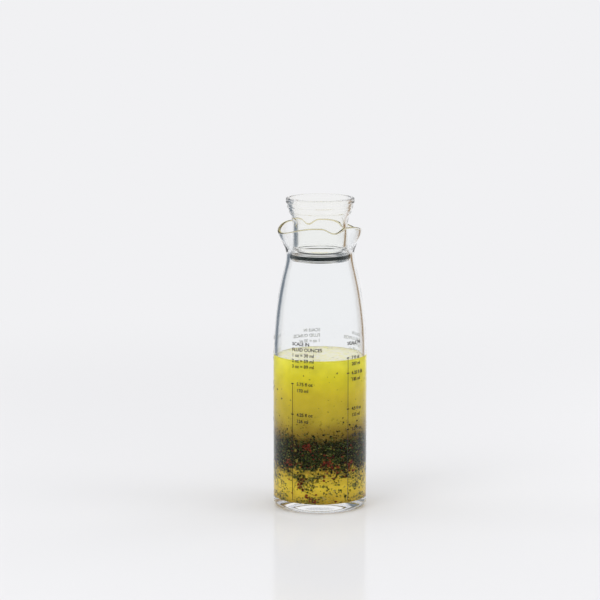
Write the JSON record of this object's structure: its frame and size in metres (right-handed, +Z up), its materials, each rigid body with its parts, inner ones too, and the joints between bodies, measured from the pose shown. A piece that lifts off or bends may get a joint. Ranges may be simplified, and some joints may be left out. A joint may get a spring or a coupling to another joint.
{
  "type": "salad dressing shaker bottle",
  "caption": "Clear glass dressing shaker bottle with a wavy two-lipped pouring collar, a hollow stopper with a seal ring, and layered dressing inside.",
  "frame": {"origin": "middle of the base, on the surface that the bottle stands on", "axes": "+Z up along the bottle's axis, towards the stopper; the two pouring lips face +Y and -Y"},
  "size_m": [0.0584, 0.0584, 0.195],
  "materials": {
    "clear_glass": "clear, fire polished, faintly amber at the rim",
    "clear_acrylic": "clear, moulded, glossy",
    "charcoal_silicone": "satin moulded silicone",
    "golden_vinegar": "clear golden liquid",
    "chopped_herbs": "wet chopped green herbs with red flecks",
    "yellow_oil": "clear yellow-green liquid"
  },
  "bodies": {
    "bottle": {"bottle_glass": "clear_glass", "vinegar_layer": "golden_vinegar", "herb_layer": "chopped_herbs", "oil_layer": "yellow_oil"},
    "stopper": {"stopper_cup": "clear_acrylic", "stopper_seal": "charcoal_silicone"}
  },
  "joints": [
    {"name": "stopper_lift", "type": "slide", "parent": "bottle", "child": "stopper", "axis": [0, 0, 1], "range_m": [0, 0.045]}
  ]
}
